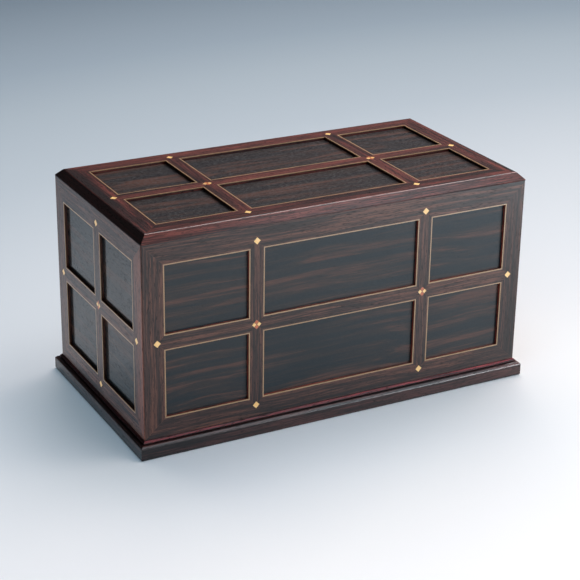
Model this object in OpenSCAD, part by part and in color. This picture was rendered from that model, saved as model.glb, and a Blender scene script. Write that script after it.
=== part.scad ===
// Inlaid wooden box: a framed and panelled cover that lifts straight up off a
// low base, which carries an inner box. Millimetres, +Z up, origin at the
// middle of the base's underside, front towards -Y.

/* [Cover] */
// Width of the cover from side to side
cover_w = 300; // [270:1:330]
// Depth of the cover from front to back
cover_d = 155.8; // [140:0.2:175]
// Height of the cover from its lower edge to its top
cover_h = 146.5; // [130:0.5:160]
// Thickness of the cover's frames
frame_t = 9; // [8.5:0.5:10]
// Width and drop of the sloped edge round the top
slope_w = 5.5; // [4.5:0.25:6]
// Bevel down the four upright corners
corner_bevel = 0.8; // [0.4:0.1:1.2]

/* [Frames and panels] */
// Visible width of the stiles and top rails of the four sides
stile_w = 15.4; // [13:0.2:18]
// Visible width of the lower rails of the four sides
lower_rail_w = 13.9; // [12:0.1:17]
// Visible width of the frame on the top face
top_frame_w = 13.2; // [11:0.2:16]
// Visible width of the bars between panels
bar_w = 10; // [8:0.2:12]
// Width of the wide middle panels
wide_panel_w = 120.6; // [100:0.2:140]
// Depth of the panels below the frame's face
recess = 2.2; // [1.6:0.1:2.8]
// Thickness of the panels
panel_t = 4; // [3:0.25:4.5]

/* [Inlay] */
// Width of the pale lines round the panels
line_w = 0.8; // [0.6:0.05:1.2]
// Width across the points of a single diamond
diamond_w = 5.3; // [4:0.1:6.5]
// Width across the points of a four-piece diamond
cross_w = 7.3; // [5.5:0.1:8.5]

/* [Base] */
// Height of the base up to the cover's lower edge
base_h = 12.8; // [11.5:0.1:15]
// How far the base stands out beyond the cover
base_out = 4.3; // [3.6:0.1:6]
// Height of the inner box above the base
inner_h = 106; // [80:1:108]
// Thickness of the inner box's walls
inner_t = 6; // [5:0.5:8]

/* [Hidden] */
line_t = 0.5;
inlay_t = 1.2;
panel_tongue = 3;
half_bar = bar_w / 2 + line_w;
wall_h = cover_h - slope_w;
foot_bevel = 0.4;
eased_edge = 0.7;
joint_gap = 0.02;

seat_t = 2.3;
seat_quirk_h = 0.8;
seat_quirk_out = 0.3;
seat_lip_edge = 0.3;
seat_lip_slope = seat_t - seat_quirk_h - seat_lip_edge;
seat_lip_out = 1.3;
rail_top = base_h - seat_t;
rail_slope = 1.9;
rail_foot_bevel = 0.8;
board_t = 6;
board_tongue = 4;
board_tongue_t = 3;
slide_gap = 0.4;
rim_bevel = 1;
inner_in = frame_t + slide_gap;
rail_in = inner_in + inner_t / 2;

spline_w = 6;
spline_t = 1.5;
spline_end = 12;
cover_spline_inset = frame_t / 2 + 0.5;
inner_spline_w = inner_t * 2 / 3;

frame_wood = [0.24, 0.12, 0.11];
panel_wood = [0.17, 0.15, 0.15];
base_wood = [0.2, 0.11, 0.1];
pale_wood = [0.86, 0.68, 0.38];
red_wood = [0.66, 0.3, 0.16];

// A face is laid out flat, with its outside at height 0 and its body below it.
// It lists the outer edges, the edges of its field of panels, the middles of
// the short bars and the middle of the long bar.
function face(low, high, field_low, field_high, bars) =
    [low, high, field_low, field_high, bars, (field_low[1] + field_high[1]) / 2];
function outer_low(f) = f[0];
function outer_high(f) = f[1];
function field_low(f) = f[2];
function field_high(f) = f[3];
function short_bars_at(f) = f[4];
function long_bar_at(f) = f[5];

function wall_face(w, bars) =
    let (edge = stile_w + line_w)
    face([-w / 2, 0], [w / 2, wall_h],
         [-w / 2 + edge, lower_rail_w + line_w], [w / 2 - edge, wall_h - edge], bars);
function top_face_of(w, d, bars) =
    let (edge = slope_w + top_frame_w + line_w)
    face([-w / 2, -d / 2], [w / 2, d / 2],
         [-w / 2 + edge, -d / 2 + edge], [w / 2 - edge, d / 2 - edge], bars);

wide_bars = [-wide_panel_w / 2 - half_bar, wide_panel_w / 2 + half_bar];
long_face = wall_face(cover_w, wide_bars);
short_face = wall_face(cover_d, [0]);
top_face = top_face_of(cover_w, cover_d, wide_bars);

// The spans between the bars, from left to right and from low to high.
function columns(f) =
    let (bars = short_bars_at(f), last = len(bars))
    [for (i = [0:last]) [
        i == 0 ? field_low(f)[0] : bars[i - 1] + half_bar,
        i == last ? field_high(f)[0] : bars[i] - half_bar
    ]];
function rows(f) = [
    [field_low(f)[1], long_bar_at(f) - half_bar],
    [long_bar_at(f) + half_bar, field_high(f)[1]]
];
function openings(f) = [
    for (c = columns(f)) for (r = rows(f)) [[c[0], r[0]], [c[1], r[1]]]
];

// The middles of the diamonds, each at the point of a bar.
function single_diamonds_at(f) = concat(
    [for (x = short_bars_at(f)) [x, field_low(f)[1] - half_bar]],
    [for (x = short_bars_at(f)) [x, field_high(f)[1] + half_bar]],
    [[field_low(f)[0] - half_bar, long_bar_at(f)], [field_high(f)[0] + half_bar, long_bar_at(f)]]
);
function cross_diamonds_at(f) = [for (x = short_bars_at(f)) [x, long_bar_at(f)]];

module slab(top, thickness) {
    translate([0, 0, top - thickness]) linear_extrude(thickness) children();
}

module box_outline(low, high, grow = 0) {
    translate([low[0] - grow, low[1] - grow])
        square([high[0] - low[0] + 2 * grow, high[1] - low[1] + 2 * grow]);
}

module diamond_outline(middle, width) {
    translate(middle) polygon([[-width / 2, 0], [0, -width / 2], [width / 2, 0], [0, width / 2]]);
}

// Everything that is cut out of a face's frame: the beds of the lines, the
// panel grooves and the sockets of the diamonds.
module face_cuts(f) {
    for (o = openings(f)) {
        slab(1, 1 + line_t) box_outline(o[0], o[1], line_w);
        slab(-recess, panel_t) box_outline(o[0], o[1], panel_tongue);
    }
    for (p = single_diamonds_at(f)) slab(1, 1 + inlay_t) diamond_outline(p, diamond_w);
    for (p = cross_diamonds_at(f)) slab(1, 1 + inlay_t) diamond_outline(p, cross_w);
}

module framed(f) {
    difference() {
        children();
        face_cuts(f);
    }
}

// A rail along one edge of the field, mitred at both ends and notched for the
// points of the short bars. Side is -1 for the low edge and 1 for the high one.
module rail(f, side) {
    out = side < 0 ? outer_low(f)[1] : outer_high(f)[1];
    edge = side < 0 ? field_low(f)[1] : field_high(f)[1];
    notches = [for (x = short_bars_at(f)) each [
        [x - half_bar, edge], [x, edge + side * half_bar], [x + half_bar, edge]
    ]];
    slab(0, frame_t) polygon(concat(
        [[outer_low(f)[0], out], [field_low(f)[0], edge]],
        notches,
        [[field_high(f)[0], edge], [outer_high(f)[0], out]]
    ));
}

// A stile along one side of the field, notched for the point of the long bar.
module stile(f, side) {
    out = side < 0 ? outer_low(f)[0] : outer_high(f)[0];
    edge = side < 0 ? field_low(f)[0] : field_high(f)[0];
    middle = long_bar_at(f);
    slab(0, frame_t) polygon([
        [out, outer_low(f)[1]], [edge, field_low(f)[1]],
        [edge, middle - half_bar], [edge + side * half_bar, middle], [edge, middle + half_bar],
        [edge, field_high(f)[1]], [out, outer_high(f)[1]]
    ]);
}

// The long bar runs through, with a point at each end. Where a short bar
// crosses it, its face is notched for the two points that meet there.
module long_bar(f) {
    low = field_low(f)[0];
    high = field_high(f)[0];
    middle = long_bar_at(f);
    difference() {
        slab(0, frame_t) polygon([
            [low - half_bar, middle], [low, middle - half_bar], [high, middle - half_bar],
            [high + half_bar, middle], [high, middle + half_bar], [low, middle + half_bar]
        ]);
        for (p = cross_diamonds_at(f)) for (side = [-1, 1])
            slab(1, 1 + inlay_t) translate(p) polygon([
                [0, 0], [side * (half_bar + 1), side * (half_bar + 1)],
                [-side * (half_bar + 1), side * (half_bar + 1)]
            ]);
    }
}

// The short bars are in two lengths each, with a full point in the rail and a
// thin one that lies on the long bar.
module short_bars(f) {
    middle = long_bar_at(f);
    for (x = short_bars_at(f)) for (side = [-1, 1]) {
        edge = side < 0 ? field_low(f)[1] : field_high(f)[1];
        translate([x, 0]) {
            slab(0, frame_t) polygon([
                [-half_bar, edge], [0, edge + side * half_bar], [half_bar, edge],
                [half_bar, middle + side * half_bar], [-half_bar, middle + side * half_bar]
            ]);
            slab(0, inlay_t) polygon([
                [-half_bar, middle + side * half_bar], [half_bar, middle + side * half_bar],
                [0, middle]
            ]);
        }
    }
}

module panels(f) {
    for (o = openings(f)) slab(-recess, panel_t) box_outline(o[0], o[1], panel_tongue);
}

// Four mitred strips round each opening.
module lines(f) {
    for (o = openings(f)) for (i = [0:3]) {
        inner = [o[0], [o[1][0], o[0][1]], o[1], [o[0][0], o[1][1]]];
        outer = [
            o[0] + [-line_w, -line_w], [o[1][0] + line_w, o[0][1] - line_w],
            o[1] + [line_w, line_w], [o[0][0] - line_w, o[1][1] + line_w]
        ];
        next = (i + 1) % 4;
        slab(0, line_t) polygon([inner[i], outer[i], outer[next], inner[next]]);
    }
}

module single_diamonds(f) {
    for (p = single_diamonds_at(f)) slab(0, inlay_t) diamond_outline(p, diamond_w);
}

// Two of the four small squares of each crossing diamond, which lie apart
// along the given direction.
module cross_squares(f, direction) {
    for (p = cross_diamonds_at(f)) for (side = [-1, 1])
        slab(0, inlay_t)
            diamond_outline(p + side * direction * cross_w / 4, cross_w / 2 - joint_gap);
}

// A slope of the given width in the corner left of and below a point, with
// both its edges eased.
function eased_slope(corner, width, ease) =
    let (steep = ease * sin(67.5), shallow = ease * cos(67.5))
    [
        corner + [0, -width], corner + [-shallow, -width + steep],
        corner + [-width + steep, -shallow], corner + [-width, 0]
    ];
function mirrored(points) = [for (i = [len(points) - 1:-1:0]) [-points[i][0], points[i][1]]];

// The block that each side's frame is cut to: mitred and bevelled down both
// ends, and bevelled along its lower edge.
module wall_block(w) {
    half = w / 2;
    intersection() {
        rotate([90, 0, 0]) translate([0, 0, -wall_h]) linear_extrude(wall_h) polygon([
            [-half + corner_bevel, 0], [half - corner_bevel, 0],
            [half - corner_bevel / 2, -corner_bevel / 2], [half - frame_t, -frame_t],
            [-half + frame_t, -frame_t], [-half + corner_bevel / 2, -corner_bevel / 2]
        ]);
        rotate([90, 0, 90]) translate([0, 0, -half]) linear_extrude(w) polygon([
            [foot_bevel, 0], [wall_h, 0], [wall_h, -frame_t], [0, -frame_t], [0, -foot_bevel]
        ]);
    }
}

function top_profile(half) =
    let (right = concat(
        [[half - frame_t, -frame_t], [half - frame_t, -slope_w]],
        eased_slope([half, 0], slope_w, eased_edge)
    ))
    concat(right, mirrored(right));

// The block that the top frame is cut to: sloped all round its upper edge and
// rebated underneath to lie inside the four sides.
module top_block() {
    intersection() {
        rotate([90, 0, 0]) translate([0, 0, -cover_d / 2])
            linear_extrude(cover_d) polygon(top_profile(cover_w / 2));
        rotate([90, 0, 90]) translate([0, 0, -cover_w / 2])
            linear_extrude(cover_w) polygon(top_profile(cover_d / 2));
    }
}

module wall_frame(f, w) {
    intersection() {
        framed(f) children();
        wall_block(w);
    }
}

module top_frame() {
    intersection() {
        framed(top_face) children();
        top_block();
    }
}

module on_front() {
    translate([0, -cover_d / 2, base_h]) rotate([90, 0, 0]) children();
}

module on_back() {
    translate([0, cover_d / 2, base_h]) rotate([90, 0, 180]) children();
}

module on_left() {
    translate([-cover_w / 2, 0, base_h]) rotate([90, 0, -90]) children();
}

module on_right() {
    translate([cover_w / 2, 0, base_h]) rotate([90, 0, 90]) children();
}

module on_top() {
    translate([0, 0, base_h + cover_h]) children();
}

// Loose tongues that cross the mitres at the four corners of a case.
module corner_splines(w, d, inset, width, low, high) {
    for (sx = [-1, 1]) for (sy = [-1, 1])
        translate([sx * (w / 2 - inset), sy * (d / 2 - inset), low])
            rotate([0, 0, -sx * sy * 45])
                translate([-width / 2, -spline_t / 2, 0])
                    cube([width, spline_t, high - low]);
}

module cover_spline_shapes() {
    corner_splines(cover_w, cover_d, cover_spline_inset, spline_w,
                   base_h + spline_end, base_h + wall_h - spline_end);
}

module cover_splined() {
    difference() {
        children();
        cover_spline_shapes();
    }
}

// A ring of mitred members round the box. The profile runs outwards from the
// cover's own faces, with height second. Long members lie along X.
module mitred_long(profile, reach) {
    hx = cover_w / 2;
    hy = cover_d / 2;
    for (side = [-1, 1]) intersection() {
        rotate([0, 0, side < 0 ? 180 : 0])
            rotate([90, 0, 90]) translate([hy, 0, -hx - reach])
                linear_extrude(2 * (hx + reach)) polygon(profile);
        translate([0, 0, -1]) linear_extrude(cover_h + base_h) polygon([
            [-hx - reach, side * (hy + reach)], [hx + reach, side * (hy + reach)],
            [hx - hy, 0], [hy - hx, 0]
        ]);
    }
}

module mitred_short(profile, reach) {
    hx = cover_w / 2;
    hy = cover_d / 2;
    for (side = [-1, 1]) intersection() {
        rotate([0, 0, side < 0 ? 180 : 0])
            rotate([90, 0, 0]) translate([hx, 0, -hy - reach])
                linear_extrude(2 * (hy + reach)) polygon(profile);
        translate([0, 0, -1]) linear_extrude(cover_h + base_h) polygon([
            [side * (hx + reach), -hy - reach], [side * (hx + reach), hy + reach],
            [side * (hx - hy), 0]
        ]);
    }
}

rail_profile = concat(
    [
        [-rail_in, 0], [base_out - rail_foot_bevel, 0], [base_out, rail_foot_bevel]
    ],
    eased_slope([base_out, rail_top], rail_slope, eased_edge),
    [
        [-rail_in, rail_top], [-rail_in, rail_top - board_t + board_tongue_t],
        [-rail_in + board_tongue, rail_top - board_t + board_tongue_t],
        [-rail_in + board_tongue, rail_top - board_t], [-rail_in, rail_top - board_t]
    ]
);

seat_profile = [
    [-frame_t, rail_top], [seat_quirk_out, rail_top],
    [seat_quirk_out, rail_top + seat_quirk_h], [seat_lip_out, rail_top + seat_quirk_h],
    [seat_lip_out, base_h - seat_lip_slope], [seat_lip_out - seat_lip_slope, base_h],
    [-frame_t, base_h]
];

inner_top = rail_top + inner_h;
inner_profile = [
    [-inner_in - inner_t, rail_top], [-inner_in, rail_top],
    [-inner_in, inner_top - rim_bevel], [-inner_in - rim_bevel, inner_top],
    [-inner_in - inner_t + rim_bevel, inner_top], [-inner_in - inner_t, inner_top - rim_bevel]
];

module base_spline_shapes() {
    inset = (base_out + rail_in - board_tongue) / 2;
    corner_splines(cover_w + 2 * base_out, cover_d + 2 * base_out, inset, spline_w,
                   rail_foot_bevel + 1, rail_top - rail_slope);
}

module inner_spline_shapes() {
    corner_splines(cover_w - 2 * inner_in, cover_d - 2 * inner_in, inner_t / 2,
                   inner_spline_w, rail_top + spline_end, inner_top - spline_end);
}

// The front side of the cover
module front_rails() color(frame_wood) on_front() wall_frame(long_face, cover_w) {
    rail(long_face, -1);
    rail(long_face, 1);
}
module front_stiles() color(frame_wood) cover_splined() on_front() wall_frame(long_face, cover_w) {
    stile(long_face, -1);
    stile(long_face, 1);
}
module front_long_bar() color(frame_wood) on_front() framed(long_face) long_bar(long_face);
module front_short_bars() color(frame_wood) on_front() framed(long_face) short_bars(long_face);
module front_panels() color(panel_wood) on_front() panels(long_face);
module front_lines() color(pale_wood) on_front() lines(long_face);
module front_diamonds() color(pale_wood) on_front() single_diamonds(long_face);
module front_cross_pale() color(pale_wood) on_front() cross_squares(long_face, [1, 0]);
module front_cross_red() color(red_wood) on_front() cross_squares(long_face, [0, 1]);

// The back side of the cover
module back_rails() color(frame_wood) on_back() wall_frame(long_face, cover_w) {
    rail(long_face, -1);
    rail(long_face, 1);
}
module back_stiles() color(frame_wood) cover_splined() on_back() wall_frame(long_face, cover_w) {
    stile(long_face, -1);
    stile(long_face, 1);
}
module back_long_bar() color(frame_wood) on_back() framed(long_face) long_bar(long_face);
module back_short_bars() color(frame_wood) on_back() framed(long_face) short_bars(long_face);
module back_panels() color(panel_wood) on_back() panels(long_face);
module back_lines() color(pale_wood) on_back() lines(long_face);
module back_diamonds() color(pale_wood) on_back() single_diamonds(long_face);
module back_cross_pale() color(pale_wood) on_back() cross_squares(long_face, [1, 0]);
module back_cross_red() color(red_wood) on_back() cross_squares(long_face, [0, 1]);

// The left side of the cover
module left_rails() color(frame_wood) on_left() wall_frame(short_face, cover_d) {
    rail(short_face, -1);
    rail(short_face, 1);
}
module left_stiles() color(frame_wood) cover_splined() on_left() wall_frame(short_face, cover_d) {
    stile(short_face, -1);
    stile(short_face, 1);
}
module left_long_bar() color(frame_wood) on_left() framed(short_face) long_bar(short_face);
module left_short_bars() color(frame_wood) on_left() framed(short_face) short_bars(short_face);
module left_panels() color(panel_wood) on_left() panels(short_face);
module left_lines() color(pale_wood) on_left() lines(short_face);
module left_diamonds() color(pale_wood) on_left() single_diamonds(short_face);
module left_cross_pale() color(pale_wood) on_left() cross_squares(short_face, [1, 0]);
module left_cross_red() color(red_wood) on_left() cross_squares(short_face, [0, 1]);

// The right side of the cover
module right_rails() color(frame_wood) on_right() wall_frame(short_face, cover_d) {
    rail(short_face, -1);
    rail(short_face, 1);
}
module right_stiles() color(frame_wood) cover_splined() on_right() wall_frame(short_face, cover_d) {
    stile(short_face, -1);
    stile(short_face, 1);
}
module right_long_bar() color(frame_wood) on_right() framed(short_face) long_bar(short_face);
module right_short_bars() color(frame_wood) on_right() framed(short_face) short_bars(short_face);
module right_panels() color(panel_wood) on_right() panels(short_face);
module right_lines() color(pale_wood) on_right() lines(short_face);
module right_diamonds() color(pale_wood) on_right() single_diamonds(short_face);
module right_cross_pale() color(pale_wood) on_right() cross_squares(short_face, [1, 0]);
module right_cross_red() color(red_wood) on_right() cross_squares(short_face, [0, 1]);

// The top of the cover
module top_long_rails() color(frame_wood) on_top() top_frame() {
    rail(top_face, -1);
    rail(top_face, 1);
}
module top_short_rails() color(frame_wood) on_top() top_frame() {
    stile(top_face, -1);
    stile(top_face, 1);
}
module top_long_bar() color(frame_wood) on_top() framed(top_face) long_bar(top_face);
module top_short_bars() color(frame_wood) on_top() framed(top_face) short_bars(top_face);
module top_panels() color(panel_wood) on_top() panels(top_face);
module top_lines() color(pale_wood) on_top() lines(top_face);
module top_diamonds() color(pale_wood) on_top() single_diamonds(top_face);
module top_cross_pale() color(pale_wood) on_top() cross_squares(top_face, [1, 0]);
module top_cross_red() color(red_wood) on_top() cross_squares(top_face, [0, 1]);
module cover_splines() color(red_wood) cover_spline_shapes();

// The base
module base_long_rails() color(base_wood) difference() {
    mitred_long(rail_profile, base_out);
    base_spline_shapes();
}
module base_short_rails() color(base_wood) difference() {
    mitred_short(rail_profile, base_out);
    base_spline_shapes();
}
module base_splines() color(red_wood) base_spline_shapes();
module seat_long_strips() color(frame_wood) mitred_long(seat_profile, seat_lip_out);
module seat_short_strips() color(frame_wood) mitred_short(seat_profile, seat_lip_out);
module bottom_board() color(base_wood) {
    half_w = cover_w / 2 - rail_in;
    half_d = cover_d / 2 - rail_in;
    slab(rail_top, board_t) box_outline([-half_w, -half_d], [half_w, half_d]);
    slab(rail_top - board_t + board_tongue_t, board_tongue_t)
        box_outline([-half_w, -half_d], [half_w, half_d], board_tongue);
}

// The inner box
module inner_long_walls() color(base_wood) difference() {
    mitred_long(inner_profile, 0);
    inner_spline_shapes();
}
module inner_short_walls() color(base_wood) difference() {
    mitred_short(inner_profile, 0);
    inner_spline_shapes();
}
module inner_splines() color(red_wood) inner_spline_shapes();

front_rails();
front_stiles();
front_long_bar();
front_short_bars();
front_panels();
front_lines();
front_diamonds();
front_cross_pale();
front_cross_red();
back_rails();
back_stiles();
back_long_bar();
back_short_bars();
back_panels();
back_lines();
back_diamonds();
back_cross_pale();
back_cross_red();
left_rails();
left_stiles();
left_long_bar();
left_short_bars();
left_panels();
left_lines();
left_diamonds();
left_cross_pale();
left_cross_red();
right_rails();
right_stiles();
right_long_bar();
right_short_bars();
right_panels();
right_lines();
right_diamonds();
right_cross_pale();
right_cross_red();
top_long_rails();
top_short_rails();
top_long_bar();
top_short_bars();
top_panels();
top_lines();
top_diamonds();
top_cross_pale();
top_cross_red();
cover_splines();
base_long_rails();
base_short_rails();
base_splines();
seat_long_strips();
seat_short_strips();
bottom_board();
inner_long_walls();
inner_short_walls();
inner_splines();
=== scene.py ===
import math

import bpy
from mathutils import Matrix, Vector

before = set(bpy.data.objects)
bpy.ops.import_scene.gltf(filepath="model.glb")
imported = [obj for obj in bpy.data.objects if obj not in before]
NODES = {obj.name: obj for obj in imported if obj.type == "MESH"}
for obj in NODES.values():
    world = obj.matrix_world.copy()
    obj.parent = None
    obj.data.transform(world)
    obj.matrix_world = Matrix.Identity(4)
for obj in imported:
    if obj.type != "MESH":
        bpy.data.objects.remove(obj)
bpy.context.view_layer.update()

MM = 0.001
AXES = "XYZ"


class Link:
    """An output of a shader node. Sums and products of links add Math nodes."""

    def __init__(self, graph, socket):
        self.graph = graph
        self.socket = socket

    def math(self, operation, other=0.0, flipped=False):
        sides = (other, self) if flipped else (self, other)
        return self.graph.add("ShaderNodeMath", {"operation": operation}, dict(enumerate(sides)))

    def __add__(self, other):
        return self.math("ADD", other)

    def __radd__(self, other):
        return self.math("ADD", other, flipped=True)

    def __sub__(self, other):
        return self.math("SUBTRACT", other)

    def __rsub__(self, other):
        return self.math("SUBTRACT", other, flipped=True)

    def __mul__(self, other):
        return self.math("MULTIPLY", other)

    def __rmul__(self, other):
        return self.math("MULTIPLY", other, flipped=True)

    def __gt__(self, other):
        return self.math("GREATER_THAN", other)


class Graph:
    """The shader nodes of one material or of the world."""

    def __init__(self, tree):
        self.tree = tree
        tree.nodes.clear()

    def add(self, kind, settings=None, inputs=None, output=0):
        """A node with its settings, then its inputs, as a link from one of its outputs."""
        node = self.tree.nodes.new(kind)
        for name, value in (settings or {}).items():
            if name == "stops":
                ramp = node.color_ramp.elements
                while len(ramp) < len(value):
                    ramp.new(1.0)
                for stop, (place, colour) in zip(ramp, value):
                    stop.position = place
                    stop.color = (*colour, 1.0)
            else:
                setattr(node, name, value)
        for name, value in (inputs or {}).items():
            if isinstance(value, Link):
                self.tree.links.new(value.socket, node.inputs[name])
            elif value is not None:
                node.inputs[name].default_value = value
        return Link(self, node.outputs[output]) if len(node.outputs) else node

    def place(self):
        return self.add("ShaderNodeTexCoord", output="Object")

    def coordinate(self, axis):
        return self.add("ShaderNodeSeparateXYZ", inputs={0: self.place()}, output=AXES.index(axis))

    def noise(self, vector, detail=3.0, roughness=0.5):
        return self.add("ShaderNodeTexNoise", inputs={
            "Vector": vector, "Scale": 1.0, "Detail": detail, "Roughness": roughness,
        })

    def haze(self):
        """Slow, even clouds over the whole box."""
        scale = (1.0 / HAZE_SIZE,) * 3
        return self.noise(self.add("ShaderNodeMapping", inputs={"Vector": self.place(), "Scale": scale}))

    def ramp(self, factor, *stops):
        return self.add("ShaderNodeValToRGB", {"stops": stops}, {0: factor})

    def fit(self, value, low, high, out_low=0.0, out_high=1.0):
        """The value carried from one range to another, and held inside it."""
        return self.add("ShaderNodeMapRange", {"interpolation_type": "SMOOTHSTEP"},
                        {0: value, 1: low, 2: high, 3: out_low, 4: out_high})

    def mix(self, factor, first, second):
        colours = [c if isinstance(c, Link) else (*c, 1.0) for c in (first, second)]
        return self.add("ShaderNodeMix", {"data_type": "RGBA"},
                        {0: factor, 6: colours[0], 7: colours[1]}, output=2)

    def bevel(self, radius):
        """The normal, as if each arris were rounded to this radius."""
        return self.add("ShaderNodeBevel", {"samples": 6}, {"Radius": radius})

    def bump(self, height, distance, strength, normal=None):
        inputs = {"Height": height, "Distance": distance, "Strength": strength}
        if normal:
            inputs["Normal"] = normal
        return self.add("ShaderNodeBump", inputs=inputs)


# Length along the grain and width across it of what shows in each wood.
GRAIN_WAVE = (110.0 * MM, 66.0 * MM)
FRAME_FIGURE = (300.0 * MM, 6.0 * MM)
FRAME_STREAKS = (100.0 * MM, 1.6 * MM)
FRAME_FIBRES = (20.0 * MM, 0.7 * MM)
FRAME_PORES = (4.0 * MM, 0.5 * MM)
PANEL_BANDS = (160.0 * MM, 7.0 * MM)
PANEL_STREAKS = (70.0 * MM, 1.8 * MM)
PANEL_FIBRES = (18.0 * MM, 0.6 * MM)
PANEL_PORES = (2.5 * MM, 0.6 * MM)
PANEL_FLECKS = (2.6 * MM, 0.9 * MM)
INLAY_CLOUDS = (4.0 * MM, 4.0 * MM)
INLAY_FIBRES = (3.0 * MM, 0.3 * MM)

HAZE_SIZE = 70.0 * MM
FRAME_SWAY = 7.0 * MM
PANEL_SWAY = 16.0 * MM
WORN_RADIUS = 0.45 * MM
FRAME_RELIEF = 0.04 * MM
PANEL_RELIEF = 0.06 * MM
DIAMOND_RIM = 0.3 * MM
SQUARE_RIM = 0.7 * MM

SEED_STEP = 3.7
PIECE_STEP = 11.3
SHIFT_WAY = (1.0, 1.7, 0.6)

LACQUER_IOR = 1.4
UNDER_LACQUER = 0.12
SMOOTH = 0.34
PLANED = 0.48
SATIN = 0.2
POLISHED = 0.12
RUBBED = 0.3
FULL_COAT = 0.9
THIN_COAT = 0.4
NO_SHEEN = (1.0, 1.0, 1.0, 1.0)
BLUE_SHEEN = (0.75, 0.9, 1.0, 1.0)

# Dark, middle and light tone of each frame wood.
WALL_TONES = ((0.010, 0.005, 0.005), (0.048, 0.018, 0.014), (0.115, 0.044, 0.029))
TOP_TONES = ((0.010, 0.004, 0.004), (0.078, 0.017, 0.014), (0.165, 0.040, 0.031))
BASE_TONES = ((0.006, 0.003, 0.004), (0.034, 0.011, 0.011), (0.08, 0.027, 0.024))
SEAT_TONES = ((0.02, 0.003, 0.005), (0.21, 0.018, 0.028), (0.33, 0.044, 0.052))
# Painted shade: the seat strips at the ends are a darker, shaded copy of the seat's tones.
SHADED_SEAT_END_TONES = ((0.004, 0.001, 0.001), (0.05, 0.005, 0.007), (0.09, 0.012, 0.014))
INNER_TONES = ((0.10, 0.05, 0.035), (0.24, 0.12, 0.075), (0.36, 0.2, 0.12))

# The ebony's ground on the walls and on the top, and its brown bands.
BLUE_BLACK = (0.0015, 0.006, 0.010)
SOFT_BLACK = (0.010, 0.008, 0.009)
BROWN_BLACK = (0.020, 0.012, 0.010)
BAND_BROWN = (0.078, 0.031, 0.020)
# Painted glints: the grey of the flecks that stand in for light caught in the pores.
PAINTED_GLINT_GREY = (0.085, 0.080, 0.082)
TOP_BAND_SHARE = 0.025
# Share of the painted glints on the walls and on the top.
WALL_GLINT_SHARE = 0.04
TOP_GLINT_SHARE = 0.5

# Paler and deeper tone of each inlaid wood.
PALE = ((0.92, 0.61, 0.25), (0.84, 0.50, 0.16))
LINE = ((0.35, 0.215, 0.108), (0.28, 0.163, 0.076))
RED = ((0.52, 0.105, 0.02), (0.36, 0.07, 0.015))
GLUE = (0.03, 0.014, 0.009)


def edge(node, axis, side):
    """The lowest (min) or highest (max) place of a CAD node along one axis."""
    return side(corner[AXES.index(axis)] for corner in NODES[node].bound_box)


COVER_TOP = edge("top_long_rails", "Z", max)
COVER_FRONT = edge("left_stiles", "Y", min)
COVER_BACK = edge("left_stiles", "Y", max)
SEAT_TOP = edge("seat_long_strips", "Z", max)
WALL_MIDDLE = (edge("front_long_bar", "Z", min) + edge("front_long_bar", "Z", max)) / 2

# Where painted light and painted shade change a frame wood's tone: the axis, the places of none and all
# of it, its share and colour.
# Painted shade: the seat strips are painted in their dark tone below 1.3 mm under their top, for the
# shade in the groove under the lip.
PAINTED_SEAT_SHADE = ("Z", SEAT_TOP - 0.8 * MM, SEAT_TOP - 1.3 * MM, 1.0, SEAT_TONES[0])
# Painted shade: the top's short rails are painted near black below their flat top, on the sloped edges.
PAINTED_SLOPE_SHADE = ("Z", COVER_TOP - 0.2 * MM, COVER_TOP - 0.6 * MM, 0.85, (0.010, 0.0012, 0.0016))
# Painted light: the top's long rails grow lighter towards the back.
PAINTED_BACK_RAIL_LIGHT = ("Y", 0.0, 50.0 * MM, 0.4, TOP_TONES[2])
# Painted light: the side stiles grow redder and lighter towards the front corner.
PAINTED_CORNER_LIGHT = ("Y", COVER_FRONT + 17.0 * MM, COVER_FRONT, 0.7, (0.26, 0.075, 0.042))
# Painted light: the members of the front and back are painted red deeper than 0.6 mm behind their faces,
# as if the recess walls were lit.
PAINTED_RECESS_LIGHT_RED = (0.30, 0.045, 0.03)
PAINTED_RECESS_LIGHTS = {
    "front": ("Y", COVER_FRONT + 0.2 * MM, COVER_FRONT + 0.6 * MM, 0.85, PAINTED_RECESS_LIGHT_RED),
    "back": ("Y", COVER_BACK - 0.2 * MM, COVER_BACK - 0.6 * MM, 0.85, PAINTED_RECESS_LIGHT_RED),
}


def new_material(name):
    material = bpy.data.materials.new(name)
    material.use_nodes = True
    return material, Graph(material.node_tree)


def finished(graph, shader):
    graph.add("ShaderNodeOutputMaterial", inputs={"Surface": shader})


def grain_point(graph, grain, figure, shift, place=None):
    """Coordinates for a figure of this length and width, drawn out along the grain."""
    along, across = figure
    scale = tuple(1.0 / (along if axis == grain else across) for axis in AXES)
    point = graph.add("ShaderNodeMapping", inputs={"Vector": place or graph.place(), "Scale": scale})
    return graph.add("ShaderNodeVectorMath", {"operation": "ADD"}, {0: point, 1: shift})


def waved(graph, grain, sway, shift):
    """Object coordinates pushed aside, so that straight bands run in slow waves."""
    wave = graph.noise(grain_point(graph, grain, GRAIN_WAVE, shift), 1.0)
    push = (wave - 0.5) * sway
    return graph.add("ShaderNodeVectorMath", {"operation": "ADD"}, {0: graph.place(), 1: push})


def piece_shift(graph, seed, splits=()):
    """How far the pattern is moved, with a jump from one piece of wood to the next."""
    number = seed * SEED_STEP
    for axis, place in splits:
        number = number + (graph.coordinate(axis) > place) * PIECE_STEP
    parts = [number * share for share in SHIFT_WAY]
    return graph.add("ShaderNodeCombineXYZ", inputs=dict(enumerate(parts))) if splits else parts


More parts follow.
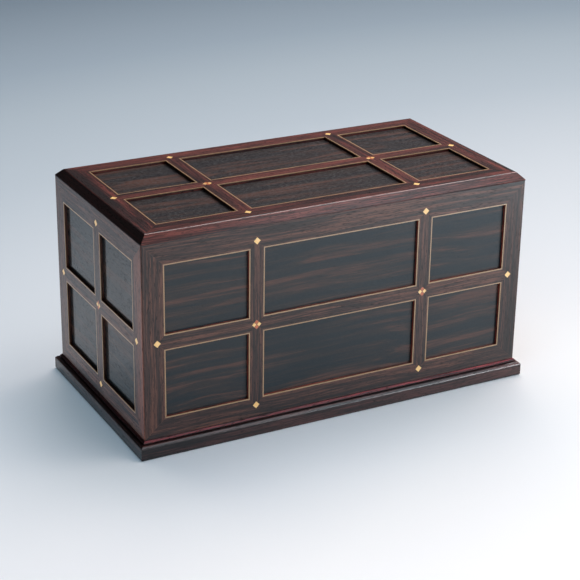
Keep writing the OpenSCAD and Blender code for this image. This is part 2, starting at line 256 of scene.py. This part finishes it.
def beside_edge(graph, rounded):
    """One along an arris and nought away from it, where the rounded normal leans off the flat one."""
    flat = graph.add("ShaderNodeNewGeometry", output="Normal")
    straight = graph.add("ShaderNodeVectorMath", {"operation": "DOT_PRODUCT"},
                         {0: rounded, 1: flat}, output="Value")
    return graph.fit(1.0 - straight, 0.01, 0.12)


def lacquered(graph, colour, roughness, normal, coat, gloss, sheen):
    """Wood under a thin coat of clear lacquer."""
    return graph.add("ShaderNodeBsdfPrincipled", inputs={
        "Base Color": colour, "Roughness": roughness, "Normal": normal,
        "Specular IOR Level": UNDER_LACQUER, "Specular Tint": sheen,
        "Coat Weight": coat, "Coat Roughness": gloss, "Coat IOR": LACQUER_IOR,
    })


def frame_wood(name, grain, splits, seed, tones, gloss=SATIN, coat=FULL_COAT, tint=None, planed=False):
    """Close-grained red-brown rosewood, rubbed to a satin shine or, inside the box, left as planed."""
    material, graph = new_material(name)
    shift = piece_shift(graph, seed, splits)
    place = waved(graph, grain, FRAME_SWAY, shift)
    figure = graph.noise(grain_point(graph, grain, FRAME_FIGURE, shift, place), 2.0, 0.5)
    streaks = graph.noise(grain_point(graph, grain, FRAME_STREAKS, shift, place), 4.0, 0.65)
    fibres = graph.noise(grain_point(graph, grain, FRAME_FIBRES, shift), 2.0, 0.6)
    pores = graph.noise(grain_point(graph, grain, FRAME_PORES, shift), 1.0, 0.5)
    dark, middle, light = tones
    colour = graph.ramp(figure * 0.4 + streaks * 0.6, (0.42, dark), (0.49, middle), (0.56, light))
    # Painted light and painted shade, laid along one axis where given.
    if tint:
        axis, none, full, share, tone = tint
        colour = graph.mix(graph.fit(graph.coordinate(axis), none, full, 0.0, share), colour, tone)
    colour = graph.mix(graph.fit(fibres, 0.42, 0.62, 0.0, 0.75), colour, dark)
    pore = graph.fit(pores, 0.58, 0.68)
    colour = graph.mix(pore * 0.75, colour, tuple(0.3 * c for c in dark))
    haze = graph.haze()
    rounded = graph.bevel(WORN_RADIUS)
    worn = beside_edge(graph, rounded) * graph.fit(haze, 0.35, 0.65)
    colour = graph.mix(worn * 0.5, colour, light)
    roughness = PLANED if planed else graph.fit(haze, 0.3, 0.7, 0.42, 0.52) + pore * 0.2 + worn * 0.1
    normal = None if planed else graph.bump(fibres * 0.4 - pore * 0.6, FRAME_RELIEF, 0.7, rounded)
    finished(graph, lacquered(graph, colour, roughness, normal, coat - pore * 0.4, gloss, NO_SHEEN))
    return material


def panel_wood(name, grain, seed, ground, band_share=0.0, glint_share=WALL_GLINT_SHARE):
    """Streaked ebony: a near-black ground with drawn-out brown bands, polished."""
    material, graph = new_material(name)
    shift = piece_shift(graph, seed)
    place = waved(graph, grain, PANEL_SWAY, shift)
    bands = graph.noise(grain_point(graph, grain, PANEL_BANDS, shift, place), 1.0, 0.4)
    streaks = graph.noise(grain_point(graph, grain, PANEL_STREAKS, shift, place), 3.0, 0.6)
    fibres = graph.noise(grain_point(graph, grain, PANEL_FIBRES, shift), 2.0, 0.6)
    pores = graph.noise(grain_point(graph, grain, PANEL_PORES, shift), 1.0, 0.5)
    flecks = graph.noise(grain_point(graph, grain, PANEL_FLECKS, shift), 2.0, 0.6)
    depth = bands * 0.6 + streaks * 0.4 + band_share
    colour = graph.ramp(depth, (0.42, ground), (0.53, BROWN_BLACK), (0.62, BAND_BROWN))
    colour = graph.mix(graph.fit(fibres, 0.4, 0.65, 0.0, 0.5), colour, ground)
    # Painted glints: grey flecks in the pores, as if they caught the light.
    colour = graph.mix(graph.fit(flecks, 0.5, 0.64, 0.0, glint_share), colour, PAINTED_GLINT_GREY)
    pore = graph.fit(pores, 0.56, 0.68)
    roughness = graph.fit(graph.haze(), 0.3, 0.7, 0.38, 0.48) + pore * 0.2
    normal = graph.bump(flecks * 0.5 - pore * 0.6, PANEL_RELIEF, 0.8)
    finished(graph, lacquered(graph, colour, roughness, normal, 1.0 - pore * 0.5, POLISHED, BLUE_SHEEN))
    return material


def inlay_wood(name, pale, deep, seed, rim=0.0):
    """Small pieces of a plain fine-grained wood, with dark glue along a rim of this width."""
    material, graph = new_material(name)
    shift = piece_shift(graph, seed)
    clouds = graph.noise(grain_point(graph, "X", INLAY_CLOUDS, shift), 2.0)
    fibres = graph.noise(grain_point(graph, "X", INLAY_FIBRES, shift), 2.0)
    colour = graph.mix(graph.fit(clouds * 0.5 + fibres * 0.5, 0.35, 0.65), pale, deep)
    if rim:
        colour = graph.mix(beside_edge(graph, graph.bevel(rim)) * 0.85, colour, GLUE)
    finished(graph, graph.add("ShaderNodeBsdfPrincipled", inputs={
        "Base Color": colour,
        "Roughness": SMOOTH,
        "Coat Weight": 0.6, "Coat Roughness": 0.15, "Coat IOR": 1.45,
    }))
    return material


def hidden_wood(name, tone):
    """One plain tone, for pieces closed inside their joints."""
    material, graph = new_material(name)
    finished(graph, graph.add("ShaderNodeBsdfPrincipled", inputs={
        "Base Color": (*tone, 1.0), "Roughness": PLANED,
    }))
    return material


def dress(node, material):
    """Gives a CAD node its finish."""
    piece = NODES[node]
    piece.data.materials.clear()
    piece.data.materials.append(material)


def dress_frame(node, grain, splits, seed, tones, slot="frame_wood", **finish):
    dress(node, frame_wood(node + "_rosewood", grain, splits, seed, tones, **finish))


def dress_inlay(face, seed):
    """The lines round a face's panels, its diamonds, and the squares at its crossings."""
    dress(face + "_lines", inlay_wood(face + "_line_boxwood", *LINE, seed))
    dress(face + "_diamonds", inlay_wood(face + "_boxwood", *PALE, seed + 1, DIAMOND_RIM))
    squares = inlay_wood(face + "_square_boxwood", *PALE, seed + 1, SQUARE_RIM)
    dress(face + "_cross_pale", squares)
    dress(face + "_cross_red", inlay_wood(face + "_red_wood", *RED, seed + 2, SQUARE_RIM))


def dress_wall(face, grain, seed):
    """One side of the cover, whose long members lie along the given axis."""
    halves = [("Z", WALL_MIDDLE)]
    ends = [(grain, 0.0)]
    short_bars = ends + halves if grain == "X" else halves
    # Painted light on the recess walls of the front and back; on the sides, painted light towards the
    # front corner of the stiles.
    recess_light = PAINTED_RECESS_LIGHTS.get(face)
    dress_frame(face + "_rails", grain, halves, seed, WALL_TONES, tint=recess_light)
    dress_frame(face + "_stiles", "Z", ends, seed + 1, WALL_TONES, tint=recess_light or PAINTED_CORNER_LIGHT)
    dress_frame(face + "_long_bar", grain, [], seed + 2, WALL_TONES, tint=recess_light)
    dress_frame(face + "_short_bars", "Z", short_bars, seed + 3, WALL_TONES, tint=recess_light)
    dress(face + "_panels", panel_wood(face + "_ebony", grain, seed + 4, BLUE_BLACK))
    dress_inlay(face, seed + 5)


def dress_top(seed):
    """The top of the cover, with its sloped edge."""
    halves = [("Y", 0.0)]
    ends = [("X", 0.0)]
    # Painted light towards the back of the long rails.
    dress_frame("top_long_rails", "X", halves, seed, TOP_TONES, tint=PAINTED_BACK_RAIL_LIGHT)
    # Painted shade on the sloped edges of the short rails.
    dress_frame("top_short_rails", "Y", ends, seed + 1, TOP_TONES, tint=PAINTED_SLOPE_SHADE)
    dress_frame("top_long_bar", "X", [], seed + 2, TOP_TONES)
    dress_frame("top_short_bars", "Y", halves + ends, seed + 3, TOP_TONES)
    ebony = panel_wood("top_ebony", "X", seed + 4, SOFT_BLACK, TOP_BAND_SHARE, TOP_GLINT_SHARE)
    dress("top_panels", ebony)
    dress_inlay("top", seed + 5)


def dress_base(seed):
    """The base, the seat under the cover, the inner box and all the splines."""
    # The seat strips at the ends take the shaded copy of the seat's tones, for painted shade.
    sides = (("long", "X", [("Y", 0.0)], SEAT_TONES), ("short", "Y", [("X", 0.0)], SHADED_SEAT_END_TONES))
    for side, grain, splits, seat_tones in sides:
        dress_frame(f"base_{side}_rails", grain, splits, seed, BASE_TONES, "base_wood")
        # Painted shade in the groove under the lip of each seat strip.
        dress_frame(f"seat_{side}_strips", grain, splits, seed + 1, seat_tones, "seat_wood",
                    gloss=RUBBED, coat=THIN_COAT, tint=PAINTED_SEAT_SHADE)
        dress_frame(f"inner_{side}_walls", grain, splits, seed + 2, INNER_TONES, "base_wood",
                    gloss=RUBBED, planed=True)
        seed += 3
    dress_frame("bottom_board", "X", [], seed, INNER_TONES, "base_wood", gloss=RUBBED, planed=True)
    splines = hidden_wood("spline_wood", RED[1])
    for node in ("cover_splines", "base_splines", "inner_splines"):
        dress(node, splines)


# The studio: a pale floor with a painted pool of light that falls away to grey-blue, and soft lamps.
FLOOR_SIZE = 30.0
LIGHT_POOL_CENTRE = (0.5, -1.1)
LIGHT_POOL_REACH = 2.4
FAR_COLOUR = (0.175, 0.22, 0.262)
AIR_COLOUR = (0.94, 0.93, 1.0)
GLOW_COLOUR = (0.8, 0.92, 1.0)

# Share of the fall-off from the centre of the painted pool of light, and the floor's colour there.
LIGHT_POOL_STOPS = (
    (0.38, (1.0, 1.0, 1.0)),
    (0.4325, (0.955, 0.96, 0.958)),
    (0.485, (0.835, 0.85, 0.87)),
    (0.696, (0.485, 0.54, 0.585)),
    (0.775, (0.400, 0.458, 0.503)),
    (0.84, (0.310, 0.368, 0.421)),
    (0.977, (0.186, 0.232, 0.276)),
    (1.0, FAR_COLOUR),
)

# Name, turn, height and spread in degrees, and colour of each soft sun that lights the floor.
FLOOR_SUNS = (
    ("floor_top_light", 0.0, 90.0, 60.0, (0.09, 0.16, 0.215)),
    ("floor_south_east_light", -45.0, 50.0, 45.0, (0.195, 0.175, 0.165)),
    ("floor_east_light", 0.0, 50.0, 45.0, (0.325, 0.28, 0.245)),
    ("floor_north_east_light", 45.0, 50.0, 45.0, (0.29, 0.23, 0.22)),
    ("floor_north_light", 90.0, 50.0, 45.0, (0.25, 0.22, 0.185)),
    ("floor_south_west_light", 225.0, 50.0, 45.0, (0.08, 0.14, 0.19)),
    ("floor_low_light", 60.0, 25.0, 30.0, (0.055, 0.08, 0.085)),
)

BOX_MIDDLE = (0.0, 0.0, 0.08)
CAMERA_PLACE = (-0.5364, -1.0032, 0.5445)
CAMERA_TURN = (67.2, -0.81, -27.83)
CAMERA_LENS = 103.84
CAMERA_REACH = (0.05, 60.0)


def floor_material():
    """Matt paper with a painted pool of light, brightest in front on the right."""
    material, graph = new_material("studio_floor")
    east = graph.coordinate("X") - LIGHT_POOL_CENTRE[0]
    north = graph.coordinate("Y") - LIGHT_POOL_CENTRE[1]
    distance = (east * east + north * north).math("SQRT")
    # Painted pool of light: the floor's colour falls away with distance from the pool's centre.
    colour = graph.ramp(distance * (1.0 / LIGHT_POOL_REACH), *LIGHT_POOL_STOPS)
    finished(graph, graph.add("ShaderNodeBsdfDiffuse", inputs={"Color": colour}))
    return material


def studio_floor():
    bpy.ops.mesh.primitive_plane_add(size=FLOOR_SIZE, location=(0, 0, 0))
    floor = bpy.context.object
    floor.name = "studio_floor"
    floor.data.materials.append(floor_material())
    return floor


def world_light():
    """Dim air, lighter on the right, with the far floor's colour behind it all."""
    world = bpy.data.worlds.new("studio_air")
    bpy.context.scene.world = world
    world.use_nodes = True
    graph = Graph(world.node_tree)
    seen = graph.add("ShaderNodeLightPath", output="Is Camera Ray")
    way = graph.add("ShaderNodeTexCoord", output="Generated")
    east = graph.add("ShaderNodeSeparateXYZ", inputs={0: way})
    strength = graph.fit(east, -0.15, 0.6, 0.035, 0.13)
    air = graph.add("ShaderNodeBackground", inputs={"Color": (*AIR_COLOUR, 1.0), "Strength": strength})
    backdrop = graph.add("ShaderNodeBackground", inputs={"Color": (*FAR_COLOUR, 1.0), "Strength": 1.0})
    shown = graph.add("ShaderNodeMixShader", inputs={0: seen, 1: air, 2: backdrop})
    graph.add("ShaderNodeOutputWorld", inputs={"Surface": shown})


def named(*starts):
    """The pieces whose names begin with any of these words."""
    return [piece for name, piece in NODES.items() if name.startswith(starts)]


def lit(name, members):
    """A collection of the pieces that a lamp lights."""
    collection = bpy.data.collections.new(name)
    for member in members:
        collection.objects.link(member)
    return collection


def new_lamp(name, kind, place, target, receivers):
    """A lamp that looks at its target and lights only its receivers."""
    lamp = bpy.data.objects.new(name, bpy.data.lights.new(name, kind))
    bpy.context.scene.collection.objects.link(lamp)
    lamp.location = place
    lamp.rotation_euler = (Vector(target) - Vector(place)).to_track_quat("-Z", "Y").to_euler()
    lamp.light_linking.receiver_collection = receivers
    return lamp


def softbox(name, place, width, height, power, receivers, target=BOX_MIDDLE):
    lamp = new_lamp(name, "AREA", place, target, receivers)
    lamp.data.shape = "RECTANGLE"
    lamp.data.size = width
    lamp.data.size_y = height
    lamp.data.energy = power
    return lamp


def floor_sun(name, turn, height, spread, colour, receivers):
    turn = math.radians(turn)
    height = math.radians(height)
    level = math.cos(height)
    place = (level * math.cos(turn), level * math.sin(turn), math.sin(height))
    lamp = new_lamp(name, "SUN", place, (0.0, 0.0, 0.0), receivers)
    lamp.data.angle = math.radians(spread)
    lamp.data.color = colour
    lamp.data.energy = math.pi


def light_floor(floor):
    on_floor = lit("lit_floor", [floor])
    for sun in FLOOR_SUNS:
        floor_sun(*sun, on_floor)


def light_box():
    """Soft lamps that don't mirror in the lacquer, plain lamps, and lamps that only mirror."""
    on_box = lit("lit_box", NODES.values())
    on_front = lit("lit_front", named("front_"))
    left_frame = ("left_rails", "left_stiles", "left_long_bar", "left_short_bars")
    left_inlay = ("left_lines", "left_diamonds", "left_cross")
    on_left = lit("lit_left", named(*left_frame, *left_inlay))
    on_back = lit("lit_back", named("back_", "base_", "seat_"))
    on_foot = lit("lit_foot", named("front_", "base_", "seat_"))
    soft = (
        softbox("key_light", (1.3, 0.1, 0.6), 0.6, 0.6, 20.0, on_box),
        softbox("top_light", (0.9, -0.1, 1.2), 0.5, 0.5, 11.0, on_box),
        softbox("front_light", (0.9, -0.9, 0.8), 0.5, 0.5, 5.0, on_box),
        softbox("side_light", (-1.0, -0.9, 0.5), 0.5, 0.5, 3.8, on_front),
        softbox("left_light", (-1.3, 0.0, 0.1), 0.4, 0.4, 10.0, on_left, (-0.15, 0.0, 0.08)),
        softbox("back_light", (0.3, 1.3, 0.5), 0.5, 0.5, 8.0, on_back),
    )
    for lamp in soft:
        lamp.visible_glossy = False
    softbox("low_light", (0.8, -0.9, 0.25), 0.4, 0.4, 4.0, on_foot)
    softbox("arris_light", (0.48, 0.27, 1.07), 0.6, 0.6, 9.0, on_box, (0.0, -0.05, 0.14))
    glow = (
        softbox("front_glow", (0.68, -0.76, 0.08), 0.8, 0.13, 16.0, on_foot, (0.05, 0.0, 0.08)),
        softbox("slope_glow", (0.38, -0.56, 0.66), 0.6, 0.6, 3.6, on_box),
    )
    for lamp in glow:
        lamp.visible_diffuse = False
        lamp.data.color = GLOW_COLOUR


def make_camera():
    data = bpy.data.cameras.new("camera")
    data.lens = CAMERA_LENS
    data.sensor_width = 36.0
    data.clip_start, data.clip_end = CAMERA_REACH
    camera = bpy.data.objects.new("camera", data)
    camera.location = CAMERA_PLACE
    camera.rotation_euler = [math.radians(angle) for angle in CAMERA_TURN]
    bpy.context.scene.collection.objects.link(camera)
    bpy.context.scene.camera = camera


dress_wall("front", "X", 10)
dress_wall("back", "X", 30)
dress_wall("left", "Y", 50)
dress_wall("right", "Y", 70)
dress_top(90)
dress_base(110)

floor = studio_floor()
world_light()
light_floor(floor)
light_box()
make_camera()
bpy.context.scene.view_settings.view_transform = "Standard"
